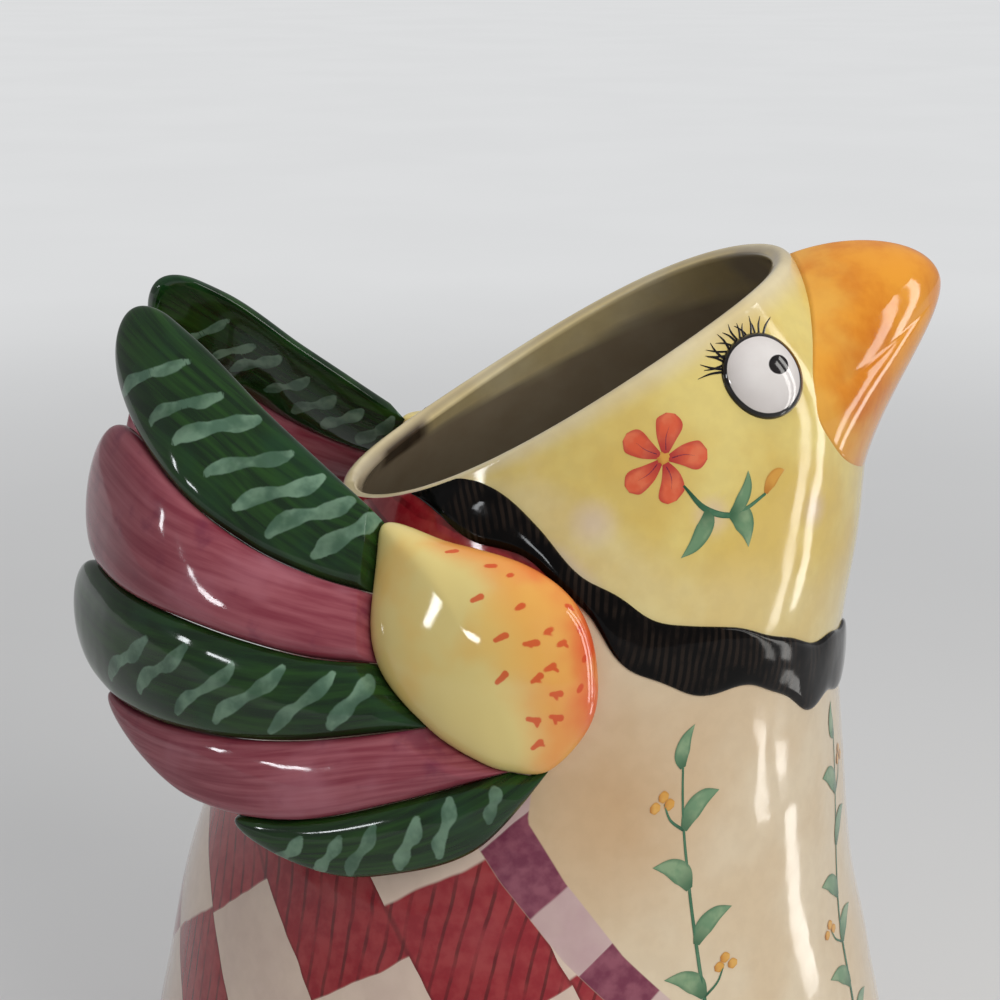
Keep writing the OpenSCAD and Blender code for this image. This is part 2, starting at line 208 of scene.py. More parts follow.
def shoulder_edge(j):
    p = along_loop(SHOULDER, j)
    return on_skin(p[..., 1], p[..., 0], SHOULDER_LIFT * p[..., 2])


def seam_knots(row):
    """A seam's places after the shoulder, over the skin by shares of WING."""
    a = np.radians(row[:, 0])
    shares = np.stack([row[:, 2] * np.cos(a), row[:, 2] * np.sin(a), row[:, 3]], -1)
    return skin(row[:, 1], row[:, 0]) + WING * shares


def feather_place(i, t, v):
    """A point of feather i, 0 to 4, at t along its seams and v from the upper to the lower one."""
    t, v = np.broadcast_arrays(np.asarray(t, float), np.asarray(v, float))
    roots = SEAM_ROOTS[i:i + 2]
    ends = [shoulder_edge(root) for root in roots]
    top, low = (along(np.vstack([ends[k], seam_knots(SEAMS[i + k])]), t) for k in (0, 1))
    v1 = v[..., None]
    bulge = shoulder_edge(mix(roots[0], roots[1], v)) - mix(ends[0], ends[1], v1)
    return mix(top, low, v1) + bulge * (np.maximum(0, 1 - t**2)**2)[..., None]


# -------------------------------- meshes
def sheet_faces(rows, columns, closed=True, start=0):
    """Quads of a grid of rows by columns, closed round its columns or open."""
    across = np.arange(columns if closed else columns - 1)
    i, j = np.meshgrid(np.arange(rows - 1), across, indexing="ij")
    k = (j + 1) % columns
    below, above = i * columns, (i + 1) * columns
    quads = np.stack([below + j, below + k, above + k, above + j], -1)
    return (quads.reshape(-1, 4) + start).tolist()


def fan(first, columns, centre, flip=False):
    """Triangles from a row, which starts at point first, to a centre."""
    faces = [[centre, first + (j + 1) % columns, first + j] for j in range(columns)]
    return [f[::-1] for f in faces] if flip else faces


def closed_sheet(rows, first=None, last=None):
    """Points and faces of rows round a piece, with a fan to a point before and after them."""
    count, columns = len(rows), len(rows[0])
    points = np.vstack([*rows] + [end for end in (first, last) if end is not None])
    faces = sheet_faces(count, columns)
    if first is not None:
        faces += fan(0, columns, count * columns)
    if last is not None:
        faces += fan((count - 1) * columns, columns, len(points) - 1, flip=True)
    return points, faces


def piece(name, points, faces, material, slot, nodes, values, mirrored=False):
    """A mesh in the frame from points in millimetres, with its painted values on its points."""
    points = np.clip(np.array(points, float), LOW, HIGH)
    if mirrored:
        points = points * [1, -1, 1]
        faces = [f[::-1] for f in faces]
    mesh = bpy.data.meshes.new(name)
    mesh.from_pydata((points / METRE).tolist(), [], faces, shade_flat=False)
    for key, value in values.items():
        value = np.asarray(value, np.float32)
        kind, field = "FLOAT", "value"
        if value.ndim == 2:
            kind, field = "FLOAT_VECTOR", "vector"
            value = np.pad(value, ((0, 0), (0, 3 - value.shape[1])))
        mesh.attributes.new(key, kind, "POINT").data.foreach_set(field, value.ravel())
    mesh.update()
    mesh.materials.append(material)
    made = bpy.data.objects.new(name, mesh)
    bpy.context.scene.collection.objects.link(made)
    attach(made, "root")
    if nodes:
        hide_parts(*nodes)


def near_strokes(points, strokes):
    """Signed distance from each point to the nearest stroke, each a (line, radii)."""
    best = np.full(len(points), 1e3)
    for line, radii in strokes:
        line, radii = np.asarray(line, float), np.asarray(radii, float)
        for k in range(len(line) - 1):
            a, d = line[k], line[k + 1] - line[k]
            u = np.clip((points - a) @ d / max(d @ d, 1e-9), 0, 1)
            gap = np.linalg.norm(points - a - u[:, None] * d, axis=1)
            best = np.minimum(best, gap - mix(radii[k], radii[k + 1], u))
    return best


def body_sheet():
    """The body's outer skin, rolled lip, inner skin and floor, and each point's place: ring, angle,
    and 0 outside to 1 inside."""
    columns = 360
    angles = np.arange(columns) * 360 / columns
    way = np.stack([np.cos(np.radians(angles)), np.sin(np.radians(angles)), 0 * angles], -1)
    rows = [(skin(t, angles), t, 0) for t in np.linspace(0, RIM, 181)]
    for share in np.linspace(0.1, 0.9, 9):
        roll = WALL * math.sin(math.pi * share) / 4 - LIP_DROP * share**1.5
        lip = mix(skin(RIM, angles), skin(RIM, angles, WALL), share) + [0, 0, roll]
        rows.append((lip, RIM, share))
    for t in np.linspace(RIM, INNER_END, 84):
        fall = LIP_DROP * max(0, 1 - (RIM - t) / LIP_RINGS)
        rows.append((skin(t, angles, WALL) - [0, 0, fall], t, 1))
    for radius in FLOOR_RADII:
        rows.append((radius * way + [0, 0, FOOT + WALL], 0, 1))
    rows, ring, inside = zip(*rows)
    points, faces = closed_sheet(rows, [0, 0, FOOT], [0, 0, FOOT + WALL])
    turn = np.tile(np.where(angles > 180, angles - 360, angles), len(rows))
    place = np.stack([np.repeat(ring, columns), turn, np.repeat(inside, columns)], -1)
    return points, faces, np.vstack([place, [0, 0, 0], [0, 0, 1]])


def beak_sheet():
    """The beak from its back, inside the head, over its edge to its tip, and each point's reach."""
    columns, steps = 160, 48
    turn = np.arange(columns) * 360 / columns
    edge = along(BEAK, np.where(turn > 180, 360 - turn, turn) / 180 * (len(BEAK) - 1))
    a, ring = np.where(turn > 180, edge[:, 0], -edge[:, 0]), edge[:, 1]
    c, s = np.cos(np.radians(turn)), np.sin(np.radians(turn))
    (top, side, bottom), up = BEAK_LEADS, c[:, None]
    lead = BEAK_LENGTH * np.where(up > 0, mix(side, top, up), mix(side, bottom, -up))
    p0 = on_skin(ring, a, -BEAK_SINK)
    p1 = p0 + lead * np.stack([np.ones(columns), s, np.ones(columns)], -1)
    blunt = np.where(c > 0, BEAK_TOP, BEAK_BOTTOM)
    p2 = BEAK_TIP + np.stack([0 * s, -BEAK_SIDE * s, blunt * c], -1)
    rows = [on_skin(mix(BEAK_MIDDLE, ring, share), a * share, -BEAK_BACK)
            for share in (0.25, 0.5, 0.75)]
    reach = [0] * len(rows) + np.linspace(0, 1, steps).tolist()
    for u in np.sin(quarter(steps)):
        v = 1 - u
        rows.append(v**3 * p0 + 3 * v * v * u * p1 + 3 * v * u * u * p2 + u**3 * BEAK_TIP)
    points, faces = closed_sheet(rows, skin(BEAK_MIDDLE, 0, BEAK_BACK), BEAK_TIP)
    return points, [f[::-1] for f in faces], np.append(np.repeat(reach, columns), [0, 1])


def collar_sheet():
    """The collar roll from rim to rim, and places on it: angle, and 0 to 1 over the roll."""
    steps, sides = 441, 20
    last, end = len(COLLAR) - 1, COLLAR[-1][0]
    u = np.linspace(-last, last, steps)
    row = along(COLLAR, np.abs(u))
    a = np.sign(u) * row[:, 0]
    wave = sum(size * np.sin(np.radians(a) * count + shift) for size, count, shift in WAVES)
    wave = wave * ramp(np.abs(a), WAVE_END, WAVE_FADE)
    low = row[:, 1] + wave + bumps(a, LOW_BUMPS)
    high = row[:, 2] + 0.5 * wave + bumps(a, HIGH_BUMPS)
    rows = []
    for turn in np.linspace(0, math.pi, sides):
        ring = np.minimum(mix(low, high, 0.5 + 0.5 * math.cos(turn)), COLLAR_TOP)
        flat = np.clip((RIM - ring) / COLLAR_TAPER, COLLAR_FLAT, 1)
        rows.append(on_skin(ring, a, COLLAR_LIFT * math.sin(turn)**0.6 * flat - COLLAR_SINK))
    ends = [on_skin(COLLAR_END_RING, angle, COLLAR_END_LIFT) for angle in (-end, end)]
    points, faces = closed_sheet(np.stack(rows, 1), *ends)
    place = np.stack([np.repeat(a, sides), np.tile(np.linspace(1, 0, sides), steps)], -1)
    return points, faces, np.vstack([place, [-end, 0.5], [end, 0.5]])


def eye_sheet():
    """A domed eye, with places in millimetres from its middle, towards the beak and up."""
    columns = 96
    turn = np.arange(columns) * 2 * math.pi / columns
    rows, flat = [], []
    for rise in quarter(28):
        radius = EYE_RADIUS * math.cos(rise)
        x, y = -radius * np.cos(turn), radius * np.sin(turn)
        rows.append(beside(EYE, x, y, EYE_HEIGHT * math.sin(rise) - SINK))
        flat.append(np.stack([x, y], -1))
    points, faces = closed_sheet(rows, last=beside(EYE, 0, 0, EYE_HEIGHT - SINK))
    return points, faces, np.vstack([*flat, [0, 0]])


def shoulder_sheet():
    """The egg-shaped shoulder: its wall out to the edge, then its dome, with angles and rings."""
    columns = 264
    j = np.arange(columns) * len(SHOULDER) / columns
    edge_lift = along_loop(SHOULDER, j)[:, 2]
    a, t, middle_lift = SHOULDER_MIDDLE
    rows, flat = [], []
    for share in SEAT_SHARE * np.linspace(0.4, 1, 4):
        p = shoulder_place(j, share)
        rows.append(on_skin(p[:, 1], p[:, 0], -SINK))
        flat.append(p[:, :2])
    for rise in quarter(90):
        share = math.cos(rise)
        p = shoulder_place(j, share)
        lift = SHOULDER_LIFT * mix(middle_lift, edge_lift, share**2)
        rows.append(on_skin(p[:, 1], p[:, 0], lift + SHOULDER_CROWN * math.sin(rise)))
        flat.append(p[:, :2])
    middle = on_skin(t, a, SHOULDER_LIFT * middle_lift + SHOULDER_CROWN)
    points, faces = closed_sheet(rows, last=middle)
    return points, faces, np.vstack([*flat, [a, t]])


def feather_sheet(i):
    """Feather i, 0 to 4, crowned and round at its tip, and places on it: millimetres from the root,
    millimetres across, and 1 on the outer to -1 on the inner face."""
    columns = 80
    reach = REACHES[i] * len(SEAMS[0])
    middle = feather_place(i, np.linspace(0, reach, 60), 0.5)
    blade = np.linalg.norm(np.diff(middle, axis=0), axis=1).sum()
    start, bend = reach * ROOT_GAP / blade, reach * (1 - TIP_ROUND / blade)
    straight, tip = np.linspace(start, bend, 110, endpoint=False), np.sin(quarter(26))
    t = np.concatenate([straight, mix(bend, reach, tip)])
    narrow = np.sqrt(np.maximum(0, 1 - (np.maximum(t - bend, 0) / (reach - bend))**2))
    across = feather_place(i, t, 1) - feather_place(i, t, 0)
    ahead = feather_place(i, t + 0.05, 0.5) - feather_place(i, t - 0.05, 0.5)
    out, width = unit(np.cross(across, ahead)), np.linalg.norm(across, axis=1)
    half = 0.5 * narrow * (1 - SEAM_GAP / width)
    turn = np.arange(columns) * 2 * math.pi / columns
    v = 0.5 - half[:, None] * np.cos(turn)
    grown = (narrow**0.6 * np.minimum(1, t / ROOT_RISE))[:, None]
    lift = np.where(turn < math.pi, CROWN, -BACK) * np.abs(np.sin(turn))**0.75 * grown
    rows = feather_place(i, t[:, None], v) + out[:, None] * lift[..., None]
    points, faces = closed_sheet(rows, feather_place(i, t[0], 0.5), feather_place(i, reach, 0.5))
    place = np.stack([np.repeat(t / reach * blade, columns), ((v - 0.5) * width[:, None]).ravel(),
                      np.tile(np.sin(turn), len(t))], -1)
    return points, faces, np.vstack([place, [0, 0, 0], [blade, 0, 0]])


# -------------------------------- glazes
def srgb(*values):
    """A colour as seen, 0 to 255, as the linear values that nodes take."""
    c = np.array(values) / 255
    return np.where(c <= 0.04045, c / 12.92, ((c + 0.055) / 1.055)**2.4)


class Glaze:
    """A painted material with short calls for its nodes."""

    def __init__(self, name):
        self.material = bpy.data.materials.new(name)
        self.material.use_nodes = True
        self.tree = self.material.node_tree
        self.shader = self.tree.nodes["Principled BSDF"]
        self.where = self.node("ShaderNodeTexCoord").outputs["Object"]

    def node(self, kind, values=None, **settings):
        made = self.tree.nodes.new(kind)
        for key, value in settings.items():
            setattr(made, key, value)
        for key, value in (values or {}).items():
            self.put(made.inputs[key], value)
        return made

    def put(self, socket, value):
        """Links an output to a socket, or sets it to a number or to a colour as seen, 0 to 255."""
        if isinstance(value, bpy.types.NodeSocket):
            self.tree.links.new(value, socket)
        else:
            socket.default_value = (*srgb(*value), 1) if socket.type == "RGBA" else value

    def shade(self, values):
        for key, value in values.items():
            self.put(self.shader.inputs[key], value)

    def sum(self, operation, a, b=0.0, c=0.0):
        return self.node("ShaderNodeMath", {0: a, 1: b, 2: c}, operation=operation).outputs[0]

    def length(self, x, y):
        return self.sum("SQRT", self.sum("MULTIPLY_ADD", x, x, self.sum("MULTIPLY", y, y)))

    def off_middle(self, value, period=1.0):
        """How far a value lies from 0.5, once it is wrapped to one period from 0."""
        wrapped = self.sum("FLOORED_MODULO", value, period)
        return self.sum("ABSOLUTE", self.sum("SUBTRACT", wrapped, 0.5))

    def noise(self, scale, detail, at=None, stretch=None, rough=0.5):
        """Noise from 0 to 1, in waves a metre over the object, or over another vector."""
        vector = self.where if at is None else at
        if stretch:
            vector = self.node("ShaderNodeMapping", {"Vector": vector, "Scale": stretch}).outputs[0]
        made = self.node("ShaderNodeTexNoise", {"Vector": vector, "Scale": scale, "Detail": detail,
                                                "Roughness": rough})
        return made.outputs[0]

    def frayed(self, value, scale, detail, size):
        """A value with noise about zero added, so that an edge drawn from it looks brushed."""
        fray = self.sum("MULTIPLY_ADD", self.noise(scale, detail), size, -size / 2)
        return self.sum("ADD", value, fray)

    def step(self, value, low, high, start=0.0, end=1.0):
        made = self.node("ShaderNodeMapRange", {"Value": value, 1: low, 2: high, 3: start, 4: end},
                         interpolation_type="SMOOTHSTEP")
        return made.outputs[0]

    def mix(self, share, a, b):
        made = self.node("ShaderNodeMix", data_type="RGBA")
        for socket, value in zip((made.inputs[0], made.inputs[6], made.inputs[7]), (share, a, b)):
            self.put(socket, value)
        return made.outputs[2]

    def value(self, name):
        return self.node("ShaderNodeAttribute", attribute_name=name).outputs["Fac"]

    def vector(self, name):
        return self.node("ShaderNodeAttribute", attribute_name=name).outputs["Vector"]

    def parts(self, vector):
        return self.node("ShaderNodeSeparateXYZ", {0: vector}).outputs

    def finish(self, colour, low, high, wobble=0.25, gloss=0.32, coat=0.2, grain=0.05, scale=55):
        """Sets the colour, an uneven gloss, and the slow waves and fine pits of a dipped glaze."""
        rough = self.step(self.noise(90, 4), 0.3, 0.7, low, high)
        waves = self.node("ShaderNodeBump", {"Height": self.noise(scale, 2), "Strength": wobble,
                                             "Distance": 0.0012}).outputs[0]
        pits = self.node("ShaderNodeBump", {"Height": self.noise(900, 2), "Strength": grain,
                                            "Distance": 0.0002, "Normal": waves}).outputs[0]
        self.shade({"Base Color": colour, "Roughness": rough, "Specular IOR Level": gloss,
                    "Coat Weight": coat, "Coat Roughness": 0.04, "Coat Normal": waves,
                    "Normal": pits})
        return self.material


# How far each column of checks is pushed up, as a share of two checks, from FIRST_COLUMN on.
COLUMN_SHIFTS, FIRST_COLUMN = (0.45, 0.975, 0.495, 0.165, 0.80, 0.28, 0.775, 0.25), -2.0


def body_glaze():
    """Washes, and in their fields the hatched red and pale checks and the plum border squares."""
    g = Glaze("painted_cream_glaze")
    blotch, fine = g.noise(38, 4), g.noise(260, 3)
    wash = g.mix(g.step(blotch, 0.36, 0.66, 0, 0.6), g.vector("wash"), g.vector("wash_dark"))
    p, q, hatch = g.parts(g.vector("lattice"))
    jitter = g.sum("MULTIPLY_ADD", g.noise(55, 2), 0.09, -0.045)
    p, q = g.sum("ADD", p, jitter), g.sum("ADD", q, jitter)
    columns = len(COLUMN_SHIFTS)
    pushed = g.node("ShaderNodeValToRGB", {
        "Fac": g.sum("DIVIDE", g.sum("SUBTRACT", q, FIRST_COLUMN), columns)})
    pushed.color_ramp.interpolation = "CONSTANT"
    stops = pushed.color_ramp.elements
    for k, value in enumerate(COLUMN_SHIFTS):
        stop = stops.new(k / columns) if k else stops[0]
        stop.color = (value, value, value, 1)
    shift = pushed.outputs[0]
    row = g.sum("ADD", p, g.sum("MULTIPLY", shift, 2.0))
    is_red = g.step(g.sum("SUBTRACT", 0.5, g.off_middle(row, 2.0)), -0.012, 0.012)
    line = g.off_middle(g.sum("ADD", hatch, g.sum("MULTIPLY", g.noise(70, 2), 0.5)))
    worn = g.step(g.noise(120, 2), 0.3, 0.6, 0.2, 1)
    lines = g.sum("MULTIPLY", g.step(line, 0.06, 0.13, 0.9, 0), worn)
    join = g.sum("SUBTRACT", 0.5, g.off_middle(q))
    red = g.mix(g.step(fine, 0.3, 0.7), (144, 12, 28), (164, 38, 48))
    red = g.mix(g.step(g.noise(55, 3), 0.5, 0.75, 0, 0.5), red, (176, 76, 78))
    red = g.mix(g.sum("MULTIPLY", shift, 0.3), red, (170, 56, 66))
    red = g.mix(g.step(join, 0.004, 0.035, 0.7, 0), red, (112, 4, 20))
    red = g.mix(lines, red, (96, 0, 12))
    pale = g.mix(g.step(blotch, 0.3, 0.7), (220, 197, 182), (233, 212, 193))
    checks = g.mix(is_red, pale, red)
    square = g.sum("SUBTRACT", 0.5, g.off_middle(g.sum("ADD", g.value("border"), jitter), 2.0))
    plum = g.mix(g.step(fine, 0.3, 0.7), (116, 44, 70), (146, 76, 98))
    lilac = g.mix(g.step(blotch, 0.3, 0.7), (212, 188, 182), (194, 160, 164))
    band = g.mix(g.step(square, -0.02, 0.02), lilac, plum)
    in_checks, in_band, _ = g.parts(g.vector("fields"))
    colour = g.mix(g.step(in_checks, -0.25, 0.25), wash, checks)
    colour = g.mix(g.step(in_band, -0.25, 0.25), colour, band)
    colour = g.mix(g.step(fine, 0.35, 0.65, 0, 0.06), colour, (150, 120, 90))
    return g.finish(colour, 0.06, 0.14)


FEATHER_GRAIN = (0.035, 0.42, 0)


def green_feather_glaze():
    """Streaked dark green with pale dabs that thin out in places."""
    g = Glaze("green_feather_glaze")
    streaks = g.noise(1, 4, at=g.vector("place"), stretch=FEATHER_GRAIN)
    base = g.mix(g.step(streaks, 0.35, 0.7), (12, 38, 14), (32, 68, 22))
    base = g.mix(g.step(g.noise(70, 3), 0.45, 0.75, 0, 0.6), base, (24, 62, 36))
    dab = g.mix(g.step(g.noise(160, 3), 0.35, 0.65), (78, 110, 90), (120, 152, 128))
    inside = g.frayed(g.value("dabs"), 320, 2, 0.7)
    thin = g.step(g.noise(100, 4), 0.3, 0.7, 0.6, 0.98)
    colour = g.mix(g.sum("MULTIPLY", g.step(inside, -0.3, 0.2, 1, 0), thin), base, dab)
    return g.finish(colour, 0.06, 0.13, wobble=0.35)


def mauve_feather_glaze():
    g = Glaze("mauve_feather_glaze")
    streaks = g.noise(1, 4, at=g.vector("place"), stretch=FEATHER_GRAIN)
    base = g.mix(g.step(streaks, 0.3, 0.7), (130, 52, 66), (158, 86, 96))
    # Painted highlights: lighter mauve patches laid at random places by noise.
    base = g.mix(g.step(g.noise(45, 3), 0.5, 0.75, 0, 0.55), base, (176, 112, 126))
    colour = g.mix(g.step(g.noise(120, 4), 0.55, 0.75, 0, 0.5), base, (100, 30, 62))
    return g.finish(colour, 0.06, 0.13, wobble=0.35)


def shoulder_glaze():
    """Yellow that turns orange and red to the front, with small red ticks."""
    g = Glaze("gold_shoulder_glaze")
    front = g.frayed(g.value("warmth"), 45, 4, 0.5)
    colour = g.mix(g.step(front, 0.15, 0.6), (232, 212, 138), (236, 160, 84))
    colour = g.mix(g.step(front, 0.6, 1.0), colour, (228, 92, 50))
    colour = g.mix(g.step(g.noise(42, 3), 0.48, 0.7, 0, 0.6), colour, (238, 188, 92))
    mark = g.frayed(g.value("marks"), 500, 2, 0.5)
    colour = g.mix(g.step(mark, -0.2, 0.2, 0.85, 0), colour, (214, 70, 32))
    return g.finish(colour, 0.06, 0.12)


def beak_glaze():
    """Streaked orange, yellower at its edge and redder at its tip."""
    g = Glaze("orange_beak_glaze")
    streaks = g.noise(40, 5, stretch=(1, 1, 0.45), rough=0.6)
    colour = g.mix(g.step(streaks, 0.35, 0.65), (238, 160, 50), (210, 114, 18))
    warm = g.frayed(g.value("reach"), 60, 3, 0.5)
    colour = g.mix(g.step(warm, 0.6, 1.05, 0, 0.8), colour, (206, 92, 34))
    colour = g.mix(g.step(warm, 0.0, 0.18, 0.6, 0), colour, (238, 184, 84))
    return g.finish(colour, 0.05, 0.1, wobble=0.12)


def collar_glaze():
    """Black with slanted, broken brush strokes."""
    g = Glaze("black_collar_glaze")
    turn, over, _ = g.parts(g.vector("place"))
    slant = g.sum("MULTIPLY_ADD", over, 0.55, g.sum("MULTIPLY", turn, 0.62))
    line = g.off_middle(g.sum("ADD", slant, g.sum("MULTIPLY", g.noise(80, 2), 1.1)))
    broken = g.step(g.noise(110, 3), 0.4, 0.62)
    strokes = g.sum("MULTIPLY", g.step(line, 0.14, 0.34, 0.8, 0), broken)
    base = g.mix(g.step(g.noise(100, 3), 0.4, 0.7), (4, 3, 3), (13, 9, 8))
    colour = g.mix(strokes, base, (42, 33, 27))
    return g.finish(colour, 0.06, 0.13, wobble=0.3, gloss=0.1, coat=0.05, scale=70)


# The pupil, in millimetres from the eye's middle: its own middle, and half its length and height.
PUPIL, PUPIL_HALF = (2.05, -0.1), (2.9, 2.25)


def eye_glaze():
    """White with a black pupil, and black outside the white's edge."""
    g = Glaze("white_eye_glaze")
    x, y, _ = g.parts(g.vector("place"))
    # Painted shade: the white turns greyer towards the edge of the dome.
    white = g.mix(g.step(g.length(x, y), 4, 11), (232, 228, 226), (216, 210, 208))
    white = g.mix(g.step(g.noise(200, 3), 0.4, 0.7, 0, 0.1), white, (190, 180, 176))
    black = g.mix(g.step(g.noise(300, 2), 0.4, 0.7), (16, 12, 14), (30, 25, 26))
    colour = g.mix(g.step(g.frayed(g.value("rim"), 150, 1, 0.3), -0.08, 0.08), white, black)
    px, py = (g.sum("DIVIDE", g.sum("SUBTRACT", value, middle), half)
              for value, middle, half in zip((x, y), PUPIL, PUPIL_HALF))
    colour = g.mix(g.step(g.length(px, py), 0.96, 1.06), black, colour)
    return g.finish(colour, 0.04, 0.08, wobble=0.08)


def stroke_glaze():
    """Brush strokes of underglaze colour: deeper at their edges and base, paler where it pools."""
    g = Glaze("brush_stroke_glaze")
    ahead, over, _ = g.parts(g.vector("place"))
    sides = g.step(g.sum("ABSOLUTE", over), 0.5, 0.95, 0, 0.45)
    deep = g.sum("MAXIMUM", sides, g.step(ahead, 0.02, 0.5, 0.85, 0))
    pool = g.step(g.noise(240, 3), 0.4, 0.65, 0, 0.35)
    colour = g.mix(pool, g.vector("paint"), g.vector("paint_pale"))
    return g.finish(g.mix(deep, colour, g.vector("paint_deep")), 0.06, 0.14)


def foot_glaze():
    g = Glaze("bare_foot_clay")
    colour = g.mix(g.step(g.noise(220, 5), 0.35, 0.65), (222, 205, 178), (196, 172, 140))
    colour = g.mix(g.step(g.noise(900, 2), 0.6, 0.7, 0, 0.6), colour, (140, 110, 84))
    return g.finish(colour, 0.55, 0.8, wobble=0.1, coat=0.0, grain=0.6)


# -------------------------------- painted places
# The checks lie on a lattice over the height and the way round the body, both in millimetres.
ROW_HEIGHT, ROW_SLANT = 38, 0.54
COLUMN_WIDTH, COLUMN_SLANT, COLUMN_WAY, COLUMN_HEIGHT = 36.3, 0.35, 136, 120
HATCH_WIDTH, HATCH_SLANT = 4.5, 0.45
# At the back, where both sides meet, the columns are moved: by how much, from and over degrees.
BACK_SHIFT, BACK_RAMP = -0.22, (155, 25)
# The border's front edge (height, way round) and its width (height, width).
BORDER_EDGE = [[0, 63], [60, 85], [110, 110], [123, 121], [142, 133], [156, 139], [180, 132],
               [215, 123], [250, 118], [290, 113]]
BORDER_WIDTH, BORDER_TOP = [[0, 15], [160, 15], [176, 0.5]], 174
# Its squares: size, where their count starts, and its direction.
SQUARE, SQUARE_WAY, SQUARE_HEIGHT, SQUARE_START = 17, 138, 156, 0.13
SQUARE_ACROSS, SQUARE_UP = 0.62, 0.78
# From a way round to the distance at right angles to the slanted edge.
UPRIGHT = 0.89
# Behind the neck the checks start again, from an angle and a height, up to the collar.
NECK_TURN, NECK_HEIGHT, NECK_RING_SIZE, NECK_DEGREE_SIZE = 104, 196, 15, 0.9
COLLAR_BACK = [180, 9.2]

# The washes: a light and a dark tone of each. The shade wash is partly a tan wash and partly
# painted shade; the inside wash is painted shade.
WASHES = {name: np.array([srgb(*light), srgb(*dark)])[:, None] for name, light, dark in (
    ("face", (232, 212, 130), (216, 178, 84)),
    ("pale", (230, 216, 176), (222, 200, 140)),
    ("shade", (200, 160, 112), (190, 146, 98)),
    ("blush", (228, 208, 198), (222, 198, 188)),
    ("lip", (224, 210, 172), (204, 184, 136)),
    ("inside", (172, 158, 134), (150, 134, 110)),
    ("inner_band", (244, 230, 186), (224, 202, 140)),
    ("inner_patch", (70, 56, 44), (44, 34, 28)))}
CREAM, TAN = srgb(226, 209, 180), srgb(206, 172, 126)
WASHES["breast"] = np.array([CREAM, mix(CREAM, TAN, 0.55)])[:, None]
# Pale blushes on the neck above the collar: angle, ring, size.
BLUSHES = ((92, 7.92, 5.5), (69, 7.62, 4.5), (43, 7.32, 4.5))
# Inside the mouth a pale band starts at a ring, and at its end a dark patch follows it.
INNER_BAND_RING, INNER_BAND_TURN, PATCH_TURN = 8.43, 136, (134, 158)


def wash_over(tones, wash, share):
    """A wash laid over light and dark tones, by its share at each point."""
    return mix(tones, WASHES[wash], np.asarray(share)[..., None])


def body_tones(points, ring, turn, inside, collar):
    """The body's light and dark tone at each point, outside, on the lip and inside, with painted
    shade beside the shoulder and inside the mouth.
    """
    face = ramp(ring, collar + 0.2, 0.15)
    outer = wash_over(np.repeat(WASHES["breast"], len(ring), axis=1), "face", face)
    pale = np.maximum(ramp(ring, 8.72, 0.25), 0.45 * ramp(ring, collar + 1.0, -0.3))
    outer = wash_over(outer, "pale", pale * face)
    # Painted shade, partly the glaze's own tan: a darker tan wash on the side beside the shoulder.
    shade = np.exp(-((turn - 80) / 17)**2 - ((ring - 5.6) / 0.8)**2)
    outer = wash_over(outer, "shade", 0.75 * shade * (1 - face))
    left = np.stack([points[:, 0], np.abs(points[:, 1]), points[:, 2]], -1)
    for a, t, size in BLUSHES:
        away = np.linalg.norm(left - skin(t, a), axis=1) / size
        outer = wash_over(outer, "blush", 0.55 * ramp(away, 1.25, -1))
    outer = wash_over(outer, "lip", ramp(inside, 0, 0.2))
    # Painted shade: inside the mouth the wash is greyer and darker than the cream glaze outside.
    inner = np.repeat(WASHES["inside"], len(ring), axis=1)
    top = ramp(ring, INNER_BAND_RING + 0.05 * np.sin(turn / 9), 0.08) * ramp(inside, 0.65, 0.25)
    band = top * ramp(turn, INNER_BAND_TURN, -4)
    inner = wash_over(inner, "inner_band", [band * ramp(turn, 30, 50), band])
    patch = top * ramp(turn, PATCH_TURN[0], 4) * ramp(turn, PATCH_TURN[1], -5)
    inner = wash_over(inner, "inner_patch", 0.9 * patch)
    return mix(outer, inner, ramp(inside, 0.48, 0.4)[:, None])


def body_fields(ring, turn, inside, way, z, collar):
    """Millimetres inside the checks' field and inside the border, below zero outside."""
    edge, width = read_off(BORDER_EDGE, z), read_off(BORDER_WIDTH, z)
    outside = np.where(inside > 0.02, -9, 9)
    neck = np.minimum.reduce([(collar - ring) * NECK_RING_SIZE + 1,
                              (turn - NECK_TURN) * NECK_DEGREE_SIZE, z - NECK_HEIGHT])
    checks = np.minimum(np.maximum((way - edge - width) * UPRIGHT, neck), outside)
    border = np.minimum.reduce([(way - edge) * UPRIGHT, (edge + width - way) * UPRIGHT,
                                BORDER_TOP - z, outside])
    return np.stack([checks, border], -1)


def body_values(points, place):
    """What the body's paint needs at each point."""
    ring, turn, inside = place[:, 0], np.abs(place[:, 1]), place[:, 2]
    x, y, z = points.T
    way = np.radians(turn) * np.hypot(x, y)
    collar = read_off([row[:2] for row in COLLAR] + [COLLAR_BACK], turn)
    column = (way - COLUMN_SLANT * (z - COLUMN_HEIGHT) - COLUMN_WAY) / COLUMN_WIDTH
    lattice = np.stack([(z + ROW_SLANT * way) / ROW_HEIGHT,
                        column + BACK_SHIFT * ramp(turn, *BACK_RAMP)**2,
                        (way + HATCH_SLANT * z) / HATCH_WIDTH], -1)
    squares = (way - SQUARE_WAY) * SQUARE_ACROSS + (z - SQUARE_HEIGHT) * SQUARE_UP
    light, dark = body_tones(points, ring, turn, inside, collar)
    return {"wash": light, "wash_dark": dark, "lattice": lattice,
            "border": SQUARE_START - squares / SQUARE,
            "fields": body_fields(ring, turn, inside, way, z, collar)}


def eye_values(flat):
    """Places on the eye, and millimetres outside the edge of its white."""
    turn = np.arctan2(flat[:, 1], flat[:, 0])
    white = WHITE_RADIUS - WHITE_BACK * np.cos(turn) - WHITE_OVAL * np.cos(2 * turn)
    return {"place": flat, "rim": np.hypot(*flat.T) - white}


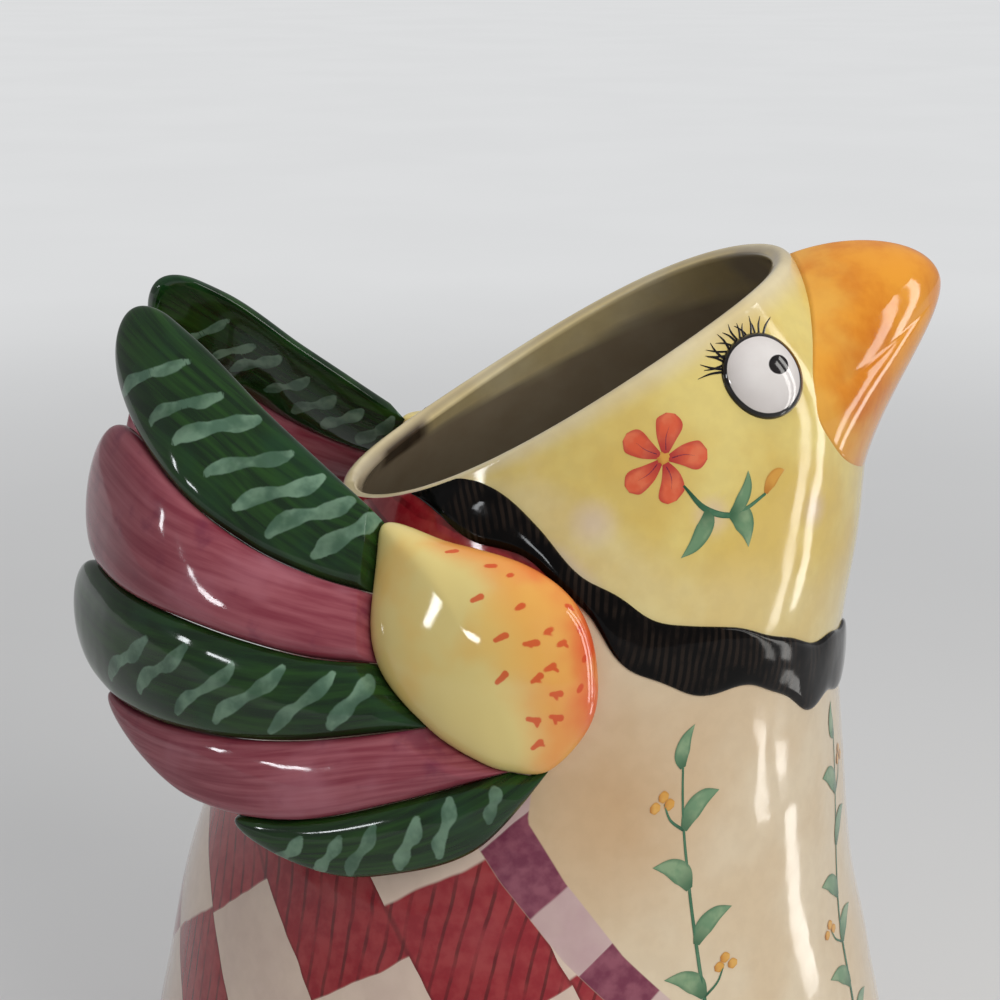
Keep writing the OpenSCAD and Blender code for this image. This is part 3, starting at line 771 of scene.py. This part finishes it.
# The green feathers' dabs: count, places and tilts of the first and last, how they bunch, reach,
# thickness.
DABS = {
    0: (7, (0.15, 0.85), (0.52, 0.48), 0.88, 13.0, 0.9),
    2: (6, (0.13, 0.70), (0.70, 0.68), 1.0, 13.0, 0.8),
    4: (6, (0.16, 0.85), (0.55, 0.62), 0.95, 8.4, 0.7)}
# On the inner face they are shorter, by a share, and tilt less. A blade this wide has them whole.
INNER_REACH, INNER_TILT, WHOLE_DAB_WIDTH = 0.72, 0.18, 22


def feather_dabs(i, points, place):
    """Signed distance to the two-lobed dabs that cross both faces of a green feather."""
    blade = place[:, 0].max()
    count, places, tilts, bunch, reach, thick = DABS[i]
    u = np.linspace(-1, 1, 17)
    strokes = []
    for face in (1, -1):
        own = np.flatnonzero(place[:, 2] * face > 0.02)
        flat, real = place[own, :2], points[own]
        rng = np.random.default_rng(11 + i)

        def at(x, y):
            return real[np.argmin((flat[:, 0] - x)**2 + (flat[:, 1] - y)**2)]

        for k in range(count):
            share = k / (count - 1)
            x = blade * (mix(*places, share**bunch) + rng.uniform(-0.006, 0.006))
            tilt = mix(*tilts, share) - (0 if face > 0 else INNER_TILT)
            near = flat[np.abs(flat[:, 0] - x) < 2, 1]
            y = 0.5 * (near.min() + near.max()) + rng.uniform(-0.04, 0.04) * np.ptp(near)
            ahead, across = unit(at(x + 5, y) - at(x - 5, y)), at(x, y + 5) - at(x, y - 5)
            across = unit(across - (across @ ahead) * ahead)
            lean = math.sqrt(1 - tilt**2)
            way, side = tilt * ahead + lean * across, lean * ahead - tilt * across
            long = reach * (1 if face > 0 else INNER_REACH) * rng.uniform(0.86, 1.04)
            long = long * min(1, np.ptp(near) / WHOLE_DAB_WIDTH) - 1.5 * thick
            sway = 1.1 * thick * np.sin(math.pi * u * rng.uniform(0.9, 1.1)) * rng.uniform(0.5, 1.1)
            line = at(x, y) + way * (long * u)[:, None] + side * sway[:, None]
            line = real[np.linalg.norm(real[None] - line[:, None], axis=2).argmin(axis=1)]
            line[1:-1] = (line[:-2] + 2 * line[1:-1] + line[2:]) / 4
            wide = thick * rng.uniform(0.85, 1.12)
            lobes = 0.95 * np.sin(math.pi * u)**2 * (1 - rng.uniform(-0.2, 0.35) * u)
            strokes.append((line, wide * (1.6 + lobes - 0.4 * u**6)))
    return near_strokes(points, strokes)


# How far back the orange has spread: ring, angle.
SPREAD = [[6.28, 96.5], [6.51, 99], [6.83, 102], [7.15, 104.5], [7.45, 108], [7.74, 115],
          [8.0, 122]]
# The red ticks on the shoulder: ring, and angles.
TICKS = (
    (7.86, (115,)), (7.70, (108,)), (7.56, (104.5,)), (7.37, (108, 99)), (7.25, (101.5, 95)),
    (7.08, (103, 96.5, 92)), (6.97, (98.5, 93.5)), (6.84, (94.5, 90.5)), (6.74, (101, 97)),
    (6.60, (93, 89.5)), (6.43, (96, 91.5)), (6.28, (94,)))
TICK_RIGHT, TICK_UP = np.array([0.95, -0.1, 0.1]), np.array([-0.1, 0.15, 1.0])


def shoulder_values(points, flat):
    """How far the orange has spread, and the small red ticks on the round part."""
    turn, ring = flat[:, 0], flat[:, 1]
    warmth = np.clip(0.22 + 0.062 * (read_off(SPREAD, ring) - turn), -0.1, 1.3)
    strokes = []
    rng = np.random.default_rng(5)
    for t, turns in TICKS:
        for a in turns:
            a, tt = a + rng.uniform(-0.8, 0.8), t + rng.uniform(-0.03, 0.03)
            middle = points[np.argmin((turn - a)**2 + (30 * (ring - tt))**2)]
            lean, size = rng.uniform(-0.5, 0.7), rng.uniform(1.2, 1.8)
            way = TICK_RIGHT * math.cos(lean) + TICK_UP * math.sin(lean)
            aside = TICK_UP * math.cos(lean) - TICK_RIGHT * math.sin(lean)
            strokes.append(([middle - size * way, middle + 0.7 * size * way], [0.55, 0.85]))
            if rng.uniform() < 0.6:
                foot = middle - rng.choice([-0.4, 0.3]) * size * way
                strokes.append(([foot, foot - size * (aside - 0.4 * way)], [0.7, 0.35]))
    return {"warmth": warmth, "marks": near_strokes(points, strokes)}


# Brush colours, with three tones of each.
TONES = ("paint", "paint_pale", "paint_deep")
PAINTS = {name: [srgb(*tone) for tone in tones] for name, *tones in (
    ("vine", (62, 112, 82), (120, 156, 122), (24, 74, 48)),
    ("leaf", (112, 148, 112), (172, 190, 150), (52, 96, 66)),
    ("petal", (224, 96, 62), (238, 146, 104), (172, 44, 50)),
    ("plum", (132, 52, 72), (160, 84, 96), (92, 30, 54)),
    ("berry", (218, 160, 72), (236, 194, 112), (186, 116, 44)),
    ("black", (20, 16, 18), (44, 36, 36), (10, 8, 10)))}
# Each stroke lies a little above the one before, and is thicker along its middle.
STROKE_LIFT, LAYER_LIFT, STROKE_CROWN = 0.05, 0.0012, 0.03


class Brush:
    """Collects brush strokes that lie on the body's glaze."""

    def __init__(self):
        self.points, self.faces = [], []
        self.values = {key: [] for key in ("place", *TONES)}
        self.layer = 0

    def stroke(self, anchor, line, widths, paint):
        """line is in millimetres from the anchor (angle, ring): x towards the beak and y up."""
        count, across = 6 * (len(line) - 1) + 1, np.linspace(-1, 1, 7)
        u = np.linspace(0, len(line) - 1, count)
        middle = along(line, u)
        half = np.maximum(along(np.array(widths, float)[:, None], u)[:, 0] / 2, 0.02)
        ahead = unit(np.gradient(middle, axis=0))
        aside = np.stack([-ahead[:, 1], ahead[:, 0]], -1)
        start = sum(map(len, self.points))
        self.layer += 1
        for v in across:
            x, y = (middle + aside * (half * v)[:, None]).T
            lift = STROKE_LIFT + LAYER_LIFT * self.layer + STROKE_CROWN * (1 - v * v)
            self.points.append(beside(anchor, x, y, lift))
            self.values["place"].append(np.stack([u / u[-1], np.full(count, v)], -1))
            for key, colour in zip(TONES, PAINTS[paint]):
                self.values[key].append(np.tile(colour, (count, 1)))
        self.faces += sheet_faces(len(across), count, closed=False, start=start)

    def leaf(self, anchor, base, tip, width, paint="leaf", bow=0.15):
        base, tip = np.array(base, float), np.array(tip, float)
        side = np.array([-(tip - base)[1], (tip - base)[0]]) * bow
        line = [base, mix(base, tip, 0.3) + side, mix(base, tip, 0.65) + side, tip]
        self.stroke(anchor, line, [0.35 * width, width, 0.8 * width, 0.06], paint)

    def lay(self, side):
        """Lays the strokes down as one piece of a side."""
        values = {key: np.vstack(value) for key, value in self.values.items()}
        piece(f"{side}_brush_strokes", np.vstack(self.points), self.faces, STROKES, "cream_glaze",
              (), values, side == "right")


def lashes(brush):
    """Two bunches of fine lashes on the upper back edge of the eye."""
    rng = np.random.default_rng(3)
    lid = 10.7
    for first, last, count in ((50, 104, 10), (112, 150, 8)):
        for k in range(count):
            turn = math.radians(mix(first, last, k / (count - 1)) + rng.uniform(-2, 2))
            lean = turn + rng.uniform(-0.75, 0.6)
            length = rng.uniform(4.6, 7.6)
            start = lid * np.array([math.cos(turn), math.sin(turn)])
            end = start + length * np.array([math.cos(lean), math.sin(lean)])
            bend = 0.06 * length * np.array([-math.sin(lean), math.cos(lean)]) * rng.choice([-1, 1])
            brush.stroke(EYE, [start, mix(start, end, 0.5) + bend, end], [0.7, 0.6, 0.15], "black")


def blossom(brush):
    """A plain five-petalled blossom with leaves and a bud on the cheek."""
    at = (77, 8.22)
    for k in range(5):
        turn = math.radians(54 + 72 * k)
        way = np.array([math.cos(turn), math.sin(turn)])
        side = np.array([-way[1], way[0]])
        line = [1.2 * way, 5.2 * way + 0.3 * side, 8.8 * way, 10.8 * way]
        brush.stroke(at, line, [1.6, 5.0, 6.4, 2.2], "petal")
        brush.stroke(at, [2 * way, 5 * way + 0.4 * side, 7.6 * way], [1.0, 0.8, 0.15], "plum")
    brush.stroke(at, [[-1.5, 0], [0, 0.1], [1.5, 0]], [1.6, 3.2, 1.6], "berry")
    brush.stroke(at, [[3, -8], [8, -15], [16, -19], [25, -17.5]], [0.5, 1.2, 1.1, 0.7], "vine")
    brush.leaf(at, [9, -15.5], [3, -24], 4.8)
    brush.leaf(at, [15, -18.5], [21, -27], 4.6)
    brush.leaf(at, [15, -18.7], [20, -11], 3.8, bow=-0.15)
    brush.leaf(at, [25, -17.5], [31, -14.5], 3.4, "berry")


def climbing_stem(brush, anchor, top, bottom, sway, flip):
    """A swaying stem with leaves on either side in turn and a few berries."""
    knots, wave = 9, 26
    heights = np.linspace(bottom, top, knots)
    line = np.stack([flip * sway * np.sin((heights - bottom) / wave), heights], -1)
    brush.stroke(anchor, line.tolist(), np.linspace(1.5, 0.6, knots).tolist(), "vine")
    for k in range(1, knots - 1):
        x, y = line[k]
        side = flip if k % 2 else -flip
        brush.leaf(anchor, [x, y], [x + 10.5 * side, y + 7], 5.2, bow=0.16 * side)
        if k % 3 == 1:
            twig = [[x, y], [x - 4 * side, y + 3], [x - 6 * side, y + 7]]
            brush.stroke(anchor, twig, [0.8, 0.6, 0.4], "vine")
            for dx, dy in ((-6.4, 8.6), (-8.6, 6.4), (-4.6, 6.6)):
                bx, by = x + dx * side, y + dy
                berry = [[bx - 1.4, by], [bx, by + 0.1], [bx + 1.4, by]]
                brush.stroke(anchor, berry, [1.2, 2.8, 1.2], "berry")
    brush.leaf(anchor, line[-1], line[-1] + [2 * flip, 9], 4.4)


# -------------------------------- the pitcher
# The stems: anchor (angle, ring), top, bottom, sway, and the side they sway to first.
STEMS = (((64, 4.6), 36, -78, 4.5, 1), ((24, 4.6), 25, -84, 4.0, -1))

STROKES = stroke_glaze()
points, faces, place = body_sheet()
piece("body_skin", points, faces, body_glaze(), "cream_glaze", ["body_shell"],
      body_values(points, place))
points, faces, reach = beak_sheet()
piece("beak_skin", points, faces, beak_glaze(), "orange_glaze", ["beak"], {"reach": reach})
points, faces, place = collar_sheet()
piece("collar_roll", points, faces, collar_glaze(), "black_glaze", ["collar"], {"place": place})

eye, shoulder = eye_sheet(), shoulder_sheet()
side_pieces = [
    ("eye_dome", "eye", eye[:2], eye_values(eye[2]), eye_glaze(), "white_glaze"),
    ("shoulder_dome", "wing_shoulder", shoulder[:2], shoulder_values(shoulder[0], shoulder[2]),
     shoulder_glaze(), "gold_glaze")]
feather_paints = [(green_feather_glaze(), "green_glaze"), (mauve_feather_glaze(), "mauve_glaze")]
for i in range(len(REACHES)):
    points, faces, place = feather_sheet(i)
    values = {"place": place}
    if i in DABS:
        values["dabs"] = feather_dabs(i, points, place)
    side_pieces.append((f"feather_{i + 1}_skin", f"wing_feather_{i + 1}", (points, faces), values,
                        *feather_paints[i % 2]))

for side in ("right", "left"):
    for name, node, form, values, paint, slot in side_pieces:
        piece(f"{side}_{name}", *form, paint, slot, [f"{side}_{node}"], values, side == "right")
    brush = Brush()
    lashes(brush)
    blossom(brush)
    for stem in STEMS:
        climbing_stem(brush, *stem)
    brush.lay(side)

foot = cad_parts["foot_ring"]
foot.data.materials.clear()
foot.data.materials.append(foot_glaze())

# -------------------------------- floor, light, camera, in metres
FLOOR_RADIUS, FLOOR_FADE = 14, (0.35, 1.6)
COOL, WARM = (0.94, 0.97, 1.0), (1.0, 0.98, 0.94)
# Name, place, what it points at, width, height, power in watts, colour, and whether it is a pane.
LAMPS = (
    ("window_left", (-1.1, -0.55, 0.7), (0, 0, 0.17), 0.1, 0.2, 1.6, COOL, True),
    ("window_front", (-0.7, -0.84, 0.58), (-0.05, -0.05, 0.18), 0.22, 0.08, 1.4, COOL, True),
    ("right_pane_1", (0.47, -0.07, 0.28), (0, -0.05, 0.2), 0.045, 0.52, 0.5, WARM, True),
    ("right_pane_2", (0.48, 0.02, 0.28), (0, -0.05, 0.2), 0.045, 0.52, 0.5, WARM, True),
    ("low_pane", (0.3, 0.0, 0.05), (0.07, -0.06, 0.12), 0.035, 0.045, 0.025, WARM, True),
    ("front_right", (0.75, -0.95, 0.85), (0, 0, 0.18), 0.9, 0.9, 9.2, (1.0, 0.97, 0.93), False),
    ("top", (0.1, 0.3, 1.5), (0, 0, 0.2), 0.9, 0.9, 7.8, (1.0, 0.99, 0.97), False))
WORLD_COLOUR, WORLD_STRENGTH = (0.72, 0.72, 0.73, 1), 0.5
LENS, SENSOR = 74.23, 36
TILT, DISTANCE, LOOK_AT = math.radians(16), 0.55, (-0.0056, 0.0, 0.21)


def seen_rays(g):
    """One for what is seen, also in a reflection or through glass, and none for other light."""
    path = g.node("ShaderNodeLightPath").outputs
    rays = g.sum("ADD", path["Is Camera Ray"], path["Is Glossy Ray"])
    return g.sum("MINIMUM", g.sum("ADD", rays, path["Is Transmission Ray"]), 1.0)


def pale_floor():
    """A floor that keeps the pitcher's shadow and turns into a pale backdrop far off."""
    g = Glaze("pale_floor")
    away = g.node("ShaderNodeVectorMath", {0: g.where}, operation="LENGTH").outputs["Value"]
    far = g.step(away, *FLOOR_FADE)
    pale = g.mix(g.step(g.noise(3, 3), 0.3, 0.7), (216, 217, 218), (218, 219, 220))
    g.shade({"Base Color": g.mix(far, pale, (0, 0, 0)), "Roughness": 0.7, "Specular IOR Level": 0.1,
             "Emission Color": pale, "Emission Strength": g.sum("MULTIPLY", far, seen_rays(g))})
    bpy.ops.mesh.primitive_circle_add(vertices=64, radius=FLOOR_RADIUS, fill_type="NGON",
                                      location=(0, 0, 0))
    floor = bpy.context.object
    floor.name = "floor"
    floor.data.materials.append(g.material)


def lamp(name, place, target, width, height, power, colour, pane):
    """A soft lamp that only lights, or a window pane that is only mirrored."""
    data = bpy.data.lights.new(name, "AREA")
    data.shape, data.size, data.size_y = "RECTANGLE", width, height
    data.energy, data.color = power, colour
    made = bpy.data.objects.new(name, data)
    made.location = place
    made.rotation_euler = (Vector(target) - Vector(place)).to_track_quat("-Z", "Y").to_euler()
    made.visible_camera, made.visible_glossy, made.visible_diffuse = False, pane, not pane
    bpy.context.scene.collection.objects.link(made)


pale_floor()
for row in LAMPS:
    lamp(*row)
world = bpy.data.worlds.new("studio")
world.use_nodes = True
bpy.context.scene.world = world
world.node_tree.nodes["Background"].inputs["Color"].default_value = WORLD_COLOUR
world.node_tree.nodes["Background"].inputs["Strength"].default_value = WORLD_STRENGTH

lens = bpy.data.cameras.new("camera")
lens.lens, lens.sensor_width = LENS, SENSOR
camera = bpy.data.objects.new("camera", lens)
camera.location = (LOOK_AT[0], LOOK_AT[1] - DISTANCE * math.cos(TILT),
                   LOOK_AT[2] + DISTANCE * math.sin(TILT))
camera.rotation_euler = (math.pi / 2 - TILT, 0, 0)
bpy.context.scene.collection.objects.link(camera)
bpy.context.scene.camera = camera
bpy.context.scene.view_settings.view_transform = "Standard"
